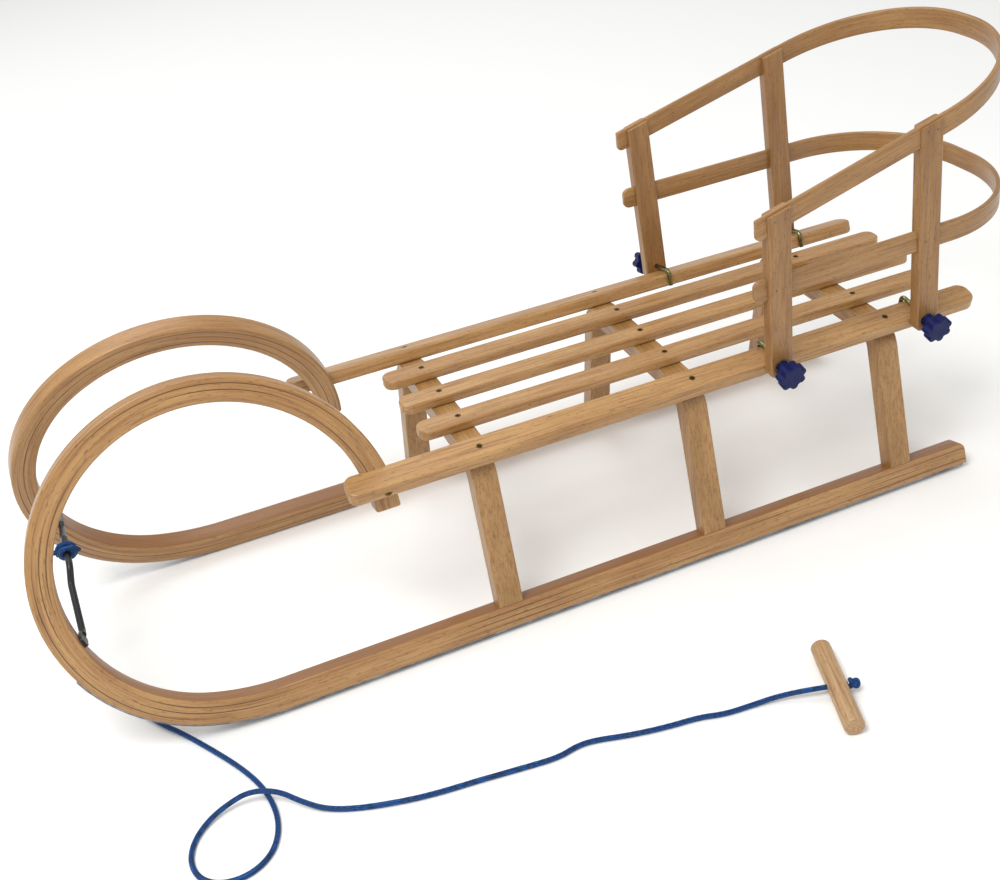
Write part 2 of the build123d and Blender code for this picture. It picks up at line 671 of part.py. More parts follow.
def knob(which):
    """Moulded star knob with a blind threaded bore."""
    star = Circle(KNOB_R - KNOB_LOBE_R + 1.5)
    for k in range(KNOB_LOBES):
        star += Rot(0, 0, 360 / KNOB_LOBES * k) * Pos(KNOB_R - KNOB_LOBE_R, 0) * Circle(KNOB_LOBE_R)
    star = fillet(star.vertices(), 1.5)
    head = extrude(star, KNOB_T)
    faces = head.faces().sort_by(Axis.Z)
    head = fillet(ShapeList(faces[0].edges() + faces[-1].edges()), 1.6)
    hub = Cylinder(KNOB_HUB[0], KNOB_HUB[1], align=(Align.CENTER, Align.CENTER, Align.MIN))
    solid = hub + Pos(0, 0, KNOB_HUB[1]) * head
    bore = Cylinder(BOLT_D / 2 + BOLT_THREAD_PLAY, KNOB_BORE, align=(Align.CENTER, Align.CENTER, Align.MIN))
    return bolt_plane(which).location * Pos(0, 0, knob_base()) * (solid - bore)


def save(name, shape):
    """Writes one node; a list is written as separate solids in one file."""
    if isinstance(shape, list):
        shape = Compound(children=[s.solid() for s in shape])
    elif not isinstance(shape, Solid):
        solids = shape.solids()
        shape = solids[0] if len(solids) == 1 else Compound(children=solids)
    export_step(shape, "parts/" + name + ".step")


def write_sledge():
    """Frame, seat and fixings of the sledge itself."""
    rail = drilled(side_rail(), seat_screw_places() + horn_screw_places())
    for word, side in SIDES.items():
        save("runner_" + word, runner(side))
        save("shoe_" + word, shoe(side))
        save("side_rail_" + word, other_side(rail, side))
    for index, word in ((-1, "right"), (0, "middle"), (1, "left")):
        save("slat_" + word, drilled(slat(index), seat_screw_places()))
    for name, station in ARCH_STATIONS.items():
        save(name, arch(station))
    save("seat_screws", screws_at(seat_screw_places()))
    save("horn_screws", screws_at(horn_screw_places()))
    save("shoe_screws", screws_at(shoe_screw_places()))
    save("leg_screws", screws_at(leg_screw_places()))
    save("brace_screws", screws_at(brace_screw_places()))
    save("front_brace", front_brace())


def write_rope():
    """Pull rope and what is on it."""
    save("pull_rope", pull_rope())
    save("brace_knot", brace_knot())
    save("rope_handle", rope_handle())
    save("handle_knot", handle_knot())


def write_backrest():
    """Posts, hoops and clamps of the child's backrest."""
    upper, lower = hoop(UPPER_HOOP), hoop(LOWER_HOOP)
    for which in POSTS:
        left = post(which, (upper, lower))
        for word, side in SIDES.items():
            save(which + "_post_" + word, other_side(left, side))
            save(which + "_hook_bolt_" + word, other_side(hook_bolt(which), side))
            save(which + "_knob_" + word, other_side(knob(which), side))
    all_nails = both_sides(nails())
    for nail in all_nails:
        upper -= nail
        lower -= nail
    save("upper_hoop", upper)
    save("lower_hoop", lower)
    save("hoop_nails", all_nails)
    save("knob_washers", both_sides([washer(which) for which in POSTS]))


write_sledge()
write_rope()
write_backrest()
print("front", round(X(HORN_NOSE), 2), "back", round(X(HOOP_BACK), 2), "middle station", round(MID, 2))
for which in POSTS:
    at = bolt_plane(which).origin
    print(which, "knob axis through", round(at.X, 3), round(at.Y, 3), round(at.Z, 3))
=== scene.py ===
"""Looks of a wooden horn sledge with a clamp-on child's backrest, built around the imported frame."""

import logging
import math
from dataclasses import dataclass, field
from enum import Enum

import bpy
import numpy as np
from mathutils import Matrix, Vector


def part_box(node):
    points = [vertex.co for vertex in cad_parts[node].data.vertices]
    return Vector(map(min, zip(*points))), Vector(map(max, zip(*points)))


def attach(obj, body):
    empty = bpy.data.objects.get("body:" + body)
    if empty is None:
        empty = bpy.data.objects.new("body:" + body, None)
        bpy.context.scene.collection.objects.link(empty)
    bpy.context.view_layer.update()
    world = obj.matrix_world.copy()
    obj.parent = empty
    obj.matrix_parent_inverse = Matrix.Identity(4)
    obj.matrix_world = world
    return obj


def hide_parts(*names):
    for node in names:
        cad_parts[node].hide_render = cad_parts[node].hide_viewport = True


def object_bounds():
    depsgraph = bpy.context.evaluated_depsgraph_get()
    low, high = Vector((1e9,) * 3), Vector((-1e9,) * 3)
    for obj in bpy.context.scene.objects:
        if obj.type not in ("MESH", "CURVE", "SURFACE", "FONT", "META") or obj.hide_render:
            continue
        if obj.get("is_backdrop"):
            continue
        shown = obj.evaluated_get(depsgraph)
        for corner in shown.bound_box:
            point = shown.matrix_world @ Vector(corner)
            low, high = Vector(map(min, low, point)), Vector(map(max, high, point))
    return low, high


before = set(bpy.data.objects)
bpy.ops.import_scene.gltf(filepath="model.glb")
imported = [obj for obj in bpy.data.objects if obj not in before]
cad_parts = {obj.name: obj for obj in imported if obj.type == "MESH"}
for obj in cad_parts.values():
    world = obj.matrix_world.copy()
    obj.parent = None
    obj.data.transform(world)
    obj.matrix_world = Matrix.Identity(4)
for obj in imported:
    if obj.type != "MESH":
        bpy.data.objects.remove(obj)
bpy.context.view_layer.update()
LOG = logging.getLogger("sledge")
MM = 0.001
SIDES = {"left": 1, "right": -1}
ASKEW = (0.3, 0.2, 1.0)         # no cord starts in this direction
MIX_INPUTS = (0, 6, 7)          # a colour Mix node's factor and its two colours
MIX_RESULT = 2                  # its colour output
Array = np.ndarray
Point = tuple[float, float, float]


# ---------------------------------------------------------------- meshes

def rounded_rectangle(width: float, height: float, radius: float, steps: int = 5) -> Array:
    """Section of a board: a rectangle with quarter circles for corners.

    Each corner's points are its centre plus the radius times the cosine and sine of the angle.

    Args:
        width: size along the first axis.
        height: size along the second axis.
        radius: corner radius.
        steps: points on each corner.

    Returns:
        Closed outline, one row a point, counter-clockwise.
    """
    turn = np.linspace(0, math.pi / 2, steps)
    quarter = np.arange(4)[:, None] * math.pi / 2
    angle = (quarter + turn).ravel()
    centre_x = np.repeat(np.array([1, -1, -1, 1]) * (width / 2 - radius), steps)
    centre_y = np.repeat(np.array([1, 1, -1, -1]) * (height / 2 - radius), steps)
    return np.stack([centre_x + radius * np.cos(angle), centre_y + radius * np.sin(angle)], 1)


def tube_faces(rings: int, points: int) -> list[list[int]]:
    """Quads from each ring of a closed section to the next, and a flat cap on each end.

    Args:
        rings: number of sections.
        points: points on each section.

    Returns:
        Faces as lists of vertex numbers.
    """
    start = np.arange(rings - 1)[:, None] * points
    here = np.arange(points)[None, :]
    there = (here + 1) % points
    quads = np.stack([start + here, start + there, start + points + there, start + points + here], -1)
    first = list(range(points))[::-1]
    last = list(range((rings - 1) * points, rings * points))
    return quads.reshape(-1, 4).tolist() + [first, last]


def solid(name: str, grid: Array, grain: Array | None = None) -> bpy.types.Object:
    """Closed piece from a grid of points, rings first.

    The faces are turned about if the enclosed volume, a sixth of the sum of each
    triangle's triple product, comes out negative.

    Args:
        name: the piece's name.
        grid: rings by points by three.
        grain: for each point, distance along the fibres, across them and through the thickness.

    Returns:
        The linked object, at the origin.
    """
    rings, points = grid.shape[:2]
    faces = tube_faces(rings, points)
    corners = grid.reshape(-1, 3)
    quads = np.array(faces[:-2])
    a, b, c, d = (corners[quads[:, k]] for k in range(4))
    volume = (np.einsum("ij,ij->i", a, np.cross(b, c)).sum()
              + np.einsum("ij,ij->i", a, np.cross(c, d)).sum())
    if volume < 0:
        faces = [face[::-1] for face in faces]
    mesh = bpy.data.meshes.new(name)
    mesh.from_pydata(corners.tolist(), [], faces)
    if grain is not None:
        layer = mesh.attributes.new("grain", "FLOAT_VECTOR", "POINT")
        layer.data.foreach_set("vector", grain.reshape(-1).astype(np.float32))
    mesh.polygons.foreach_set("use_smooth", [True] * (len(faces) - 2) + [False] * 2)
    mesh.update()
    piece = bpy.data.objects.new(name, mesh)
    bpy.context.scene.collection.objects.link(piece)
    return piece


def end_inset(distance: Array, radius: float) -> Array:
    """How far an outline is drawn in near a rounded end: the radius less the height of its quarter circle.

    Args:
        distance: distance from the end.
        radius: rounding of the end.

    Returns:
        The inset, zero past the rounding.
    """
    left = np.clip(radius - distance, 0, radius)
    return radius - np.sqrt(np.maximum(radius ** 2 - left ** 2, 0))


def end_steps(length: float, radius: float, steps: int, middle: Array) -> Array:
    """Distances along a piece, close together in its two rounded ends.

    Args:
        length: whole length.
        radius: rounding of the ends.
        steps: sections in each rounding.
        middle: distances between the ends.

    Returns:
        Sorted distances from 0 to the length.
    """
    near = radius * (1 - np.cos(np.linspace(0, math.pi / 2, steps)))
    inner = middle[(middle > radius) & (middle < length - radius)]
    return np.concatenate([near, inner, length - near[::-1]])


def carried_frames(points: Array) -> tuple[Array, Array]:
    """Two cross directions along a line that turn as little as they can.

    Each direction is the last one less its part along the new tangent, made unit length.

    Args:
        points: the line, one row a point.

    Returns:
        The two cross directions, one row a point.
    """
    tangent = np.gradient(points, axis=0)
    tangent /= np.linalg.norm(tangent, axis=1, keepdims=True)
    side = np.cross(tangent[0], ASKEW)
    sides = np.empty_like(points)
    for i, along in enumerate(tangent):
        side = side - along * side.dot(along)
        side = side / np.linalg.norm(side)
        sides[i] = side
    return sides, np.cross(tangent, sides)


def cord_mesh(name: str, points: Array, radius: float, around: int, strands: int, lay: float,
              depth: float) -> bpy.types.Object:
    """Braided cord along a line.

    The radius is the cord's own times one plus a small part of a braid: the larger of two sets of
    ridges that wind opposite ways, each the size of a sine of the turn plus or minus the distance.

    Args:
        name: the piece's name.
        points: the line it follows.
        radius: the cord's radius.
        around: points on each ring.
        strands: ridges in each set.
        lay: distance in which a ridge goes once round.
        depth: height of the ridges as a part of the radius.

    Returns:
        The cord, with its distance along, its turn and its ridges in the attribute grain.
    """
    step = np.linalg.norm(np.diff(points, axis=0), axis=1)
    along = np.concatenate([[0.0], np.cumsum(step)])[:, None]
    side, other = carried_frames(points)
    turn = np.linspace(0, 2 * math.pi, around, endpoint=False)[None, :]
    twist = 2 * math.pi * along / lay
    right = np.abs(np.sin(0.5 * strands * turn + 0.5 * strands * twist))
    left = np.abs(np.sin(0.5 * strands * turn - 0.5 * strands * twist))
    ridge = np.maximum(right, left)
    size = radius * (1 - depth + depth * ridge)
    grid = (points[:, None] + size[..., None] * (np.cos(turn)[..., None] * side[:, None]
                                                 + np.sin(turn)[..., None] * other[:, None]))
    over = (right > left).astype(float)
    grain = np.stack([along + 0 * turn, over, ridge], -1)
    return solid(name, grid, grain)


# ---------------------------------------------------------------- finishes

def linear(code: str) -> tuple[float, float, float, float]:
    """An sRGB hex colour as linear values.

    Args:
        code: six hex digits.

    Returns:
        Red, green, blue and full opacity.
    """
    parts = [int(code[i:i + 2], 16) / 255 for i in (0, 2, 4)]
    light = [p / 12.92 if p <= 0.04045 else ((p + 0.055) / 1.055) ** 2.4 for p in parts]
    return (light[0], light[1], light[2], 1.0)


def add(tree: bpy.types.NodeTree, kind: str, inputs: dict | None = None, **settings) -> bpy.types.Node:
    """Adds a node, with its settings, and fills its inputs with values or links.

    Args:
        tree: the material's nodes.
        kind: the node's type.
        inputs: value or output socket for each input, by name or number.
        **settings: the node's own properties.

    Returns:
        The node.
    """
    made = tree.nodes.new(kind)
    for name, value in settings.items():
        setattr(made, name, value)
    for name, value in (inputs or {}).items():
        socket = made.inputs[name]
        if isinstance(value, bpy.types.NodeSocket):
            tree.links.new(value, socket)
        else:
            socket.default_value = value
    return made


def start_material(name: str) -> tuple[bpy.types.Material, bpy.types.NodeTree, bpy.types.Node]:
    """An empty material with its output and one surface shader.

    Args:
        name: the finish's name.

    Returns:
        The material, its nodes and the shader.
    """
    material = bpy.data.materials.new(name)
    material.use_nodes = True
    tree = material.node_tree
    tree.nodes.clear()
    shader = add(tree, "ShaderNodeBsdfPrincipled")
    add(tree, "ShaderNodeOutputMaterial", {"Surface": shader.outputs["BSDF"]})
    return material, tree, shader


def mixed(tree: bpy.types.NodeTree, factor: object, first: object,
          second: object) -> bpy.types.NodeSocket:
    """One colour laid over another.

    Args:
        tree: the material's nodes.
        factor: share of the second, a number or a socket.
        first: the colour beneath.
        second: the colour on top.

    Returns:
        The colour.
    """
    made = add(tree, "ShaderNodeMix", data_type="RGBA")
    for number, value in zip(MIX_INPUTS, (factor, first, second)):
        if isinstance(value, bpy.types.NodeSocket):
            tree.links.new(value, made.inputs[number])
        else:
            made.inputs[number].default_value = value
    return made.outputs[MIX_RESULT]


def ramp(tree: bpy.types.NodeTree, value: bpy.types.NodeSocket, low: float, high: float,
         to_low: float = 0.0, to_high: float = 1.0) -> bpy.types.NodeSocket:
    """A value spread from one range to another and held at its ends.

    Args:
        tree: the material's nodes.
        value: what is spread.
        low: value that gives to_low.
        high: value that gives to_high.
        to_low: result at the low end.
        to_high: result at the high end.

    Returns:
        The result.
    """
    made = add(tree, "ShaderNodeMapRange", {"Value": value, "From Min": low, "From Max": high,
                                            "To Min": to_low, "To Max": to_high})
    return made.outputs["Result"]


class Fibres(Enum):
    """Which way a piece's fibres run."""

    LENGTHWAYS = "along the sledge"
    UPRIGHT = "up the piece"
    ARCHED = "up the legs and across between them"
    FOLLOWING = "along the bend"
    HANDLE = "along the handle"


@dataclass(frozen=True)
class Beech:
    """Steamed beech under clear varnish.

    It gives the eye a pinkish tan with soft clouds, fine straight fibres and short dark ray flecks,
    Laminated pieces also show their plies and dark glue lines, with painted shade along their top face.
    """

    name: str
    fibres: Fibres
    light: str = "B68D58"
    middle: str = "A47A47"
    dark: str = "7C4F2B"
    line: str = "4E2E16"
    # painted shade: the colour that darkens a laminated runner's top face
    face: str = "7E4F26"
    ply: float = 0.0
    thickness: float = 0.0
    shift: float = 0.0
    heading: float = 0.0

    fibre_width = 2.6 * MM              # wider than real fibres, so that they show
    fleck_width = 1.1 * MM              # real flecks are about 0.3 mm wide
    cloud_width = 28 * MM
    glue_line = (0.25 * MM, 0.85 * MM)  # full and faded half width, wider than real so that it shows
    top_shade_depth = (0.9 * MM, 0.3 * MM)   # where the painted shade on the top face starts and is full
    shoulder = (124 * MM, 136 * MM)     # an arch's fibres turn across between these half widths

    def coordinates(self, tree: bpy.types.NodeTree) -> bpy.types.NodeSocket:
        """Distance along the fibres first, then across and through, in metres.

        Args:
            tree: the material's nodes.

        Returns:
            The vector.
        """
        if self.fibres is Fibres.FOLLOWING:
            return add(tree, "ShaderNodeAttribute", attribute_name="grain").outputs["Vector"]
        place = add(tree, "ShaderNodeTexCoord").outputs["Object"]
        if self.fibres is Fibres.LENGTHWAYS:
            return place
        if self.fibres is Fibres.HANDLE:
            turned = add(tree, "ShaderNodeMapping", {"Vector": place, "Rotation": (0, 0, -self.heading)})
            return turned.outputs["Vector"]
        parts = add(tree, "ShaderNodeSeparateXYZ", {"Vector": place}).outputs
        upright = add(tree, "ShaderNodeCombineXYZ",
                      {"X": parts["Z"], "Y": parts["X"], "Z": parts["Y"]}).outputs["Vector"]
        if self.fibres is Fibres.UPRIGHT:
            return upright
        across = add(tree, "ShaderNodeCombineXYZ",
                     {"X": parts["Y"], "Y": parts["X"], "Z": parts["Z"]}).outputs["Vector"]
        out = add(tree, "ShaderNodeMath", {0: parts["Y"]}, operation="ABSOLUTE").outputs[0]
        return mixed(tree, ramp(tree, out, *self.shoulder), across, upright)

    def noise(self, tree: bpy.types.NodeTree, place: bpy.types.NodeSocket, width: float,
              stretch: float, detail: float) -> bpy.types.NodeSocket:
        """Noise drawn out along the fibres.

        Args:
            tree: the material's nodes.
            place: coordinates from the method above.
            width: size of a feature across the fibres.
            stretch: how many times longer than wide it is.
            detail: finer layers.

        Returns:
            A value from 0 to 1.
        """
        drawn = add(tree, "ShaderNodeMapping",
                    {"Vector": place, "Location": (self.shift, self.shift, 0),
                     "Scale": (1 / stretch, 1, 1)}).outputs["Vector"]
        return add(tree, "ShaderNodeTexNoise", {"Vector": drawn, "Scale": 1 / width, "Detail": detail,
                                                "Roughness": 0.55}).outputs["Fac"]

    def laminated(self, tree: bpy.types.NodeTree, place: bpy.types.NodeSocket,
                  colour: bpy.types.NodeSocket) -> bpy.types.NodeSocket:
        """Plies of slightly different tone with dark glue lines between them, and painted shade on the top
        face.

        Args:
            tree: the material's nodes.
            place: coordinates, the third through the plies.
            colour: the wood's own colour.

        Returns:
            The colour with its plies and the painted shade on the top face.
        """
        depth = add(tree, "ShaderNodeSeparateXYZ", {"Vector": place}).outputs["Z"]
        inside = add(tree, "ShaderNodeClamp", {"Value": depth, "Min": self.ply / 2,
                                               "Max": self.thickness - self.ply / 2}).outputs[0]
        away = add(tree, "ShaderNodeMath", {0: inside, 1: self.ply}, operation="PINGPONG").outputs[0]
        near = add(tree, "ShaderNodeMath", {0: inside, 1: self.ply / 2}, operation="ADD").outputs[0]
        gap = add(tree, "ShaderNodeMath", {0: near, 1: self.ply}, operation="MODULO").outputs[0]
        centred = add(tree, "ShaderNodeMath", {0: gap, 1: -self.ply / 2}, operation="ADD").outputs[0]
        distance = add(tree, "ShaderNodeMath", {0: centred}, operation="ABSOLUTE").outputs[0]
        line = ramp(tree, distance, *self.glue_line, 1.0, 0.0)
        patchy = ramp(tree, self.noise(tree, place, self.ply, 26, 0), 0.42, 0.58, 0.08, 1.0)
        strength = add(tree, "ShaderNodeMath", {0: line, 1: patchy}, operation="MULTIPLY").outputs[0]
        tone = ramp(tree, away, 0.0, self.ply, 0.0, 0.22)
        toned = mixed(tree, tone, colour, linear(self.dark))
        glued = mixed(tree, strength, toned, linear(self.line))
        start, full = self.top_shade_depth
        # Painted shade: the top face turns towards the shade colour.
        top = ramp(tree, depth, self.thickness - start, self.thickness - full, 0.0, 0.75)
        return mixed(tree, top, glued, linear(self.face))

    def make(self) -> bpy.types.Material:
        """Builds the material.

        Returns:
            The material.
        """
        material, tree, shader = start_material(self.name)
        place = self.coordinates(tree)
        clouds = self.noise(tree, place, self.cloud_width, 7, 2)
        fibre = self.noise(tree, place, self.fibre_width, 30, 4)
        fleck = self.noise(tree, place, self.fleck_width, 8, 1)
        colour = mixed(tree, ramp(tree, clouds, 0.35, 0.65), linear(self.light), linear(self.middle))
        colour = mixed(tree, ramp(tree, fibre, 0.44, 0.68, 0.0, 0.65), colour, linear(self.dark))
        colour = mixed(tree, ramp(tree, fleck, 0.62, 0.72, 0.0, 0.6), colour, linear(self.line))
        if self.ply:
            colour = self.laminated(tree, place, colour)
        tree.links.new(colour, shader.inputs["Base Color"])
        tree.links.new(ramp(tree, fibre, 0.3, 0.7, 0.36, 0.5), shader.inputs["Roughness"])
        bump = add(tree, "ShaderNodeBump", {"Height": fibre, "Strength": 0.25, "Distance": 0.15 * MM})
        tree.links.new(bump.outputs["Normal"], shader.inputs["Normal"])
        shader.inputs["IOR"].default_value = 1.5
        shader.inputs["Coat Weight"].default_value = 0.25
        shader.inputs["Coat Roughness"].default_value = 0.22
        return material


@dataclass(frozen=True)
class Metal:
    """Steel with a plated or plain surface.

    It gives the eye a tinted mirror, a little uneven in colour and gloss from handling and weather.
    """

    name: str
    bright: str
    dull: str
    roughness: float
    patch: float = 6 * MM

    def make(self) -> bpy.types.Material:
        """Builds the material.

        Returns:
            The material.
        """
        material, tree, shader = start_material(self.name)
        place = add(tree, "ShaderNodeTexCoord").outputs["Object"]
        noise = add(tree, "ShaderNodeTexNoise", {"Vector": place, "Scale": 1 / self.patch, "Detail": 5.0,
                                                 "Roughness": 0.65}).outputs["Fac"]
        colour = mixed(tree, ramp(tree, noise, 0.38, 0.62), linear(self.bright), linear(self.dull))
        tree.links.new(colour, shader.inputs["Base Color"])
        rough = ramp(tree, noise, 0.3, 0.7, self.roughness * 0.8, self.roughness * 1.25)
        tree.links.new(rough, shader.inputs["Roughness"])
        bump = add(tree, "ShaderNodeBump", {"Height": noise, "Strength": 0.12, "Distance": 0.1 * MM})
        tree.links.new(bump.outputs["Normal"], shader.inputs["Normal"])
        shader.inputs["Metallic"].default_value = 1.0
        return material


@dataclass(frozen=True)
class Coating:
    """An opaque paint or moulded plastic.

    It gives the eye one pigment with paler worn patches and a fine grit in the surface.
    """

    name: str
    colour: str
    worn: str
    roughness: float
    grit: float
    coat: float
    gloss: float = 0.5

    cloud_width = 12 * MM

    def make(self) -> bpy.types.Material:
        """Builds the material.

        Returns:
            The material.
        """
        material, tree, shader = start_material(self.name)
        place = add(tree, "ShaderNodeTexCoord").outputs["Object"]
        grit = add(tree, "ShaderNodeTexNoise", {"Vector": place, "Scale": 1 / self.grit, "Detail": 3.0})
        cloud = add(tree, "ShaderNodeTexNoise",
                    {"Vector": place, "Scale": 1 / self.cloud_width, "Detail": 4.0})
        worn = ramp(tree, cloud.outputs["Fac"], 0.5, 0.75, 0.0, 0.6)
        colour = mixed(tree, worn, linear(self.colour), linear(self.worn))
        tree.links.new(colour, shader.inputs["Base Color"])
        rough = ramp(tree, cloud.outputs["Fac"], 0.3, 0.7, self.roughness * 0.85, self.roughness * 1.2)
        tree.links.new(rough, shader.inputs["Roughness"])
        bump = add(tree, "ShaderNodeBump",
                   {"Height": grit.outputs["Fac"], "Strength": 0.3, "Distance": 0.12 * MM})
        tree.links.new(bump.outputs["Normal"], shader.inputs["Normal"])
        shader.inputs["IOR"].default_value = 1.5
        shader.inputs["Specular IOR Level"].default_value = self.gloss
        shader.inputs["Coat Weight"].default_value = self.coat
        shader.inputs["Coat Roughness"].default_value = 0.15
        return material


@dataclass(frozen=True)
class BraidedCord:
    """Braided polypropylene cord.

    It gives the eye soft blue strands, with painted shade darkening the gaps between them and painted
    highlights in patches on the strands that wind one way.
    """

    name: str
    # painted highlight: the pale colour laid in patches on the strands that wind one way
    crown_highlight: str
    strand: str
    # painted shade: the colour in the grooves between the strands
    gap: str

    fuzz_width = 0.8 * MM       # coarser than the real filaments, so that it shows

    def make(self) -> bpy.types.Material:
        """Builds the material.

        Returns:
            The material.
        """
        material, tree, shader = start_material(self.name)
        grain = add(tree, "ShaderNodeAttribute", attribute_name="grain").outputs["Vector"]
        parts = add(tree, "ShaderNodeSeparateXYZ", {"Vector": grain}).outputs
        place = add(tree, "ShaderNodeTexCoord").outputs["Object"]
        fuzz = add(tree, "ShaderNodeTexNoise",
                   {"Vector": place, "Scale": 1 / self.fuzz_width, "Detail": 3.0})
        # Painted shade: the gap colour fills the grooves, the strand colour where the strands stand up.
        standing = ramp(tree, parts["Z"], 0.75, 1.0)
        colour = mixed(tree, standing, linear(self.gap), linear(self.strand))
        # Painted highlight: the crown colour in patches on the strands that wind one way.
        lit = add(tree, "ShaderNodeMath", {0: fuzz.outputs["Fac"], 1: parts["Y"]}, operation="MULTIPLY")
        colour = mixed(tree, ramp(tree, lit.outputs[0], 0.35, 0.7, 0.0, 0.8), colour, linear(self.crown_highlight))
        tree.links.new(colour, shader.inputs["Base Color"])
        bump = add(tree, "ShaderNodeBump",
                   {"Height": fuzz.outputs["Fac"], "Strength": 0.4, "Distance": 0.2 * MM})
        tree.links.new(bump.outputs["Normal"], shader.inputs["Normal"])
        shader.inputs["Roughness"].default_value = 0.6
        shader.inputs["Sheen Weight"].default_value = 0.08
        shader.inputs["Specular IOR Level"].default_value = 0.25
        return material


def dress(piece: bpy.types.Object, material: bpy.types.Material) -> None:
    """Gives a piece or a carried-over node one material.

    Args:
        piece: what is dressed.
        material: its finish.
    """
    piece.data.materials.clear()
    piece.data.materials.append(material)


def dress_nodes(names: list[str], material: bpy.types.Material) -> None:
    """Dresses carried-over nodes and reports each.

    Args:
        names: node names.
        material: their finish.
    """
    for name in names:
        dress(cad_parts[name], material)
        LOG.info("%s keeps its frame shape, in %s", name, material.name)


def settle(piece: bpy.types.Object, body: str, slot: str, material: bpy.types.Material,
           *nodes: str) -> bpy.types.Object:
    """Dresses a finished piece and hands it to the frame.

    Args:
        piece: the piece.
        body: the body that it rides on.
        slot: the record's material slot, not used.
        material: its finish.
        *nodes: nodes that it stands for.

    Returns:
        The piece.
    """
    dress(piece, material)
    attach(piece, body)
    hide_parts(*nodes)
    LOG.info("%s rides on %s", piece.name, body)
    return piece


# ---------------------------------------------------------------- sub-assemblies

def sledge_x(station: float) -> float:
    """Place along the sledge from a distance in front of the rear arch's middle.

    Args:
        station: millimetres in front of the rear arch.

    Returns:
        Metres along X.
    """
    low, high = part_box("rear_arch")
    return (low.x + high.x) / 2 + station * MM


@dataclass
class HornRunner:
    """A laminated runner that curls up at the front into a horn and leans towards the middle."""

    side: str
    width: float = 27 * MM
    height: float = 30 * MM
    rounding: float = 3.2 * MM
    cant: float = math.radians(15)
    sole_y: float = 193.5 * MM
    shoe: float = 2 * MM
    tail: float = -104
    bend: float = 862
    tail_round: float = 9 * MM
    tip_round: float = 1.6 * MM
    bends: tuple[tuple[float, float], ...] = (      # outer radius in millimetres and turn in degrees
        (325, 16.5), (212, 60), (200.5, 70.5), (212.5, 57), (220.5, 65.5))
    shoe_width: float = 20 * MM
    spacing: float = 4 * MM         # sections along an arc
    straight_step: float = 20 * MM  # sections along the straight
    tail_steps: int = 8
    grain_apart: float = 5.3        # sets the right runner's figure apart from the left one's

    def line(self) -> tuple[Array, Array, Array, Array]:
        """Middle line of the runner in its own leaning plane.

        It is a straight run, then arcs that each start where the last one ends and in its direction:
        a point is the arc's centre plus its radius times the sine and minus the cosine of the heading.

        Returns:
            Distances, places along X, heights in the plane and headings.
        """
        start = sledge_x(self.tail)
        flat = sledge_x(self.bend) - start
        middle = self.shoe + self.height / 2
        heading, x, v, done = 0.0, start + flat, middle, flat
        run = end_steps(flat * 2, self.tail_round, self.tail_steps, np.arange(0, flat, self.straight_step))
        run = run[run < flat - 5 * MM]
        parts = [(run, start + run, 0 * run + middle, 0 * run)]
        for radius_mm, degrees in self.bends:
            radius, turn = radius_mm * MM - self.height / 2, math.radians(degrees)
            count = max(8, int(radius * turn / self.spacing))
            angle = heading + np.linspace(0, turn, count, endpoint=False)
            centre_x, centre_v = x - radius * math.sin(heading), v + radius * math.cos(heading)
            along = done + radius * (angle - heading)
            parts.append((along, centre_x + radius * np.sin(angle), centre_v - radius * np.cos(angle), angle))
            done, heading = done + radius * turn, heading + turn
            x, v = centre_x + radius * math.sin(heading), centre_v - radius * math.cos(heading)
        near = self.tip_round * (1 - np.cos(np.linspace(0, math.pi / 2, 4)))[::-1]
        parts[-1] = tuple(column[parts[-1][0] < done - self.tip_round - MM] for column in parts[-1])
        end = (done - near, x - near * math.cos(heading), v - near * math.sin(heading), 0 * near + heading)
        parts.append(end)
        return tuple(np.concatenate(columns) for columns in zip(*parts))

    def build(self) -> bpy.types.Object:
        """Carries the rounded section along the line.

        A point is the line's, plus its place across times the plane's outward direction, plus its
        height times the direction at right angles to the line in the plane. The tail's upper corner
        lowers the top by its quarter circle, and the tip's edge draws the whole section in.

        Returns:
            The runner.
        """
        along, x, v, heading = self.line()
        section = rounded_rectangle(self.width, self.height, self.rounding)
        tip = end_inset(along[-1] - along, self.tip_round) + end_inset(along, self.tip_round)
        drop = end_inset(along, self.tail_round)
        across = section[None, :, 0] * (1 - 2 * tip / self.width)[:, None]
        raised = section[None, :, 1] * (1 - 2 * tip / self.height)[:, None]
        share = raised / self.height + 0.5
        raised = raised - share * (drop - np.minimum(drop, tip))[:, None]
        plane_x = x[:, None] - raised * np.sin(heading)[:, None]
        plane_v = v[:, None] + raised * np.cos(heading)[:, None]
        inwards = self.width / 2 - across
        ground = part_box("shoe_left")[0].z
        base_z = (self.width + self.shoe_width) / 2 * math.sin(self.cant) + ground
        y = self.sole_y - inwards * math.cos(self.cant) - plane_v * math.sin(self.cant)
        z = base_z - inwards * math.sin(self.cant) + plane_v * math.cos(self.cant)
        grid = np.stack([plane_x, y * SIDES[self.side], z], -1)
        offset = 0.0 if self.side == "left" else self.grain_apart
        grain = np.stack([along[:, None] + 0 * across + offset, across + offset,
                          section[None, :, 1] + self.height / 2 + 0 * across], -1)
        return solid(f"horn_runner_{self.side}", grid, grain)


